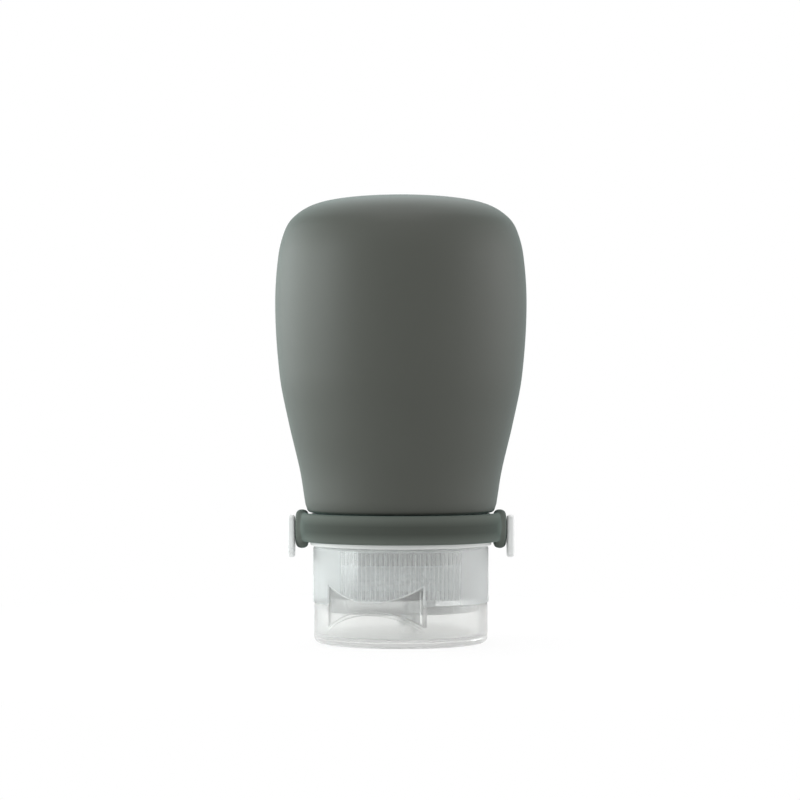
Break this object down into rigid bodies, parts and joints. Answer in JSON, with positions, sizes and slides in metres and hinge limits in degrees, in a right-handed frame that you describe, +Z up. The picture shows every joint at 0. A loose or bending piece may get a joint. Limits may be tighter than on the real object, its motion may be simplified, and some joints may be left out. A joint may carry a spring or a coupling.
{
  "type": "travel silicone bottle",
  "caption": "Soft silicone travel bottle standing on its frosted flip cap: pear body, neck collar with T-bar pegs, hinged strap, seal, screw-on cap base and bow-tie hinged lid.",
  "frame": {"origin": "centre of the flat face of the flip lid that the bottle stands on, on the bottle's axis", "axes": "+Z up along the bottle's axis, from the lid to the crown; +X to the right of the viewer, along the two pegs; -Y towards the viewer, the side the strap runs round"},
  "size_m": [0.045, 0.045, 0.0799],
  "materials": {
    "grey_silicone": "matte, fine soft-touch skin",
    "seal_silicone": "matte",
    "clear_plastic": "translucent, smooth",
    "white_plastic": "smooth moulded",
    "frosted_plastic": "frosted, translucent"
  },
  "bodies": {
    "bottle": {"silicone_body": "grey_silicone", "neck_insert": "clear_plastic", "neck_collar": "white_plastic"},
    "strap": {"strap": "grey_silicone"},
    "seal": {"seal_ring": "seal_silicone"},
    "cap": {"cap_base": "frosted_plastic", "hinge_web": "frosted_plastic"},
    "lid": {"flip_lid": "frosted_plastic"}
  },
  "joints": [
    {"name": "strap_swing", "type": "hinge", "parent": "bottle", "child": "strap", "pos_m": [0, 0, 0.0203], "axis": [1, 0, 0], "range_deg": [0, 8]},
    {"name": "thread_rise", "type": "slide", "parent": "bottle", "child": "seal", "axis": [0, 0, -1], "range_m": [0, 0.0084]},
    {"name": "cap_turn", "type": "hinge", "parent": "seal", "child": "cap", "pos_m": [0, 0, 0.0083], "axis": [0, 0, -1], "range_deg": [0, 1080]},
    {"name": "lid_flip", "type": "hinge", "parent": "cap", "child": "lid", "pos_m": [-0.00536, -0.01481, 0.0073], "axis": [-0.9403, 0.3404, 0], "range_deg": [0, 148], "deforming": ["hinge_web"]}
  ],
  "couplings": [
    {"joint": "thread_rise", "follows": "cap_turn", "m_per_rad": 0.0004456}
  ]
}
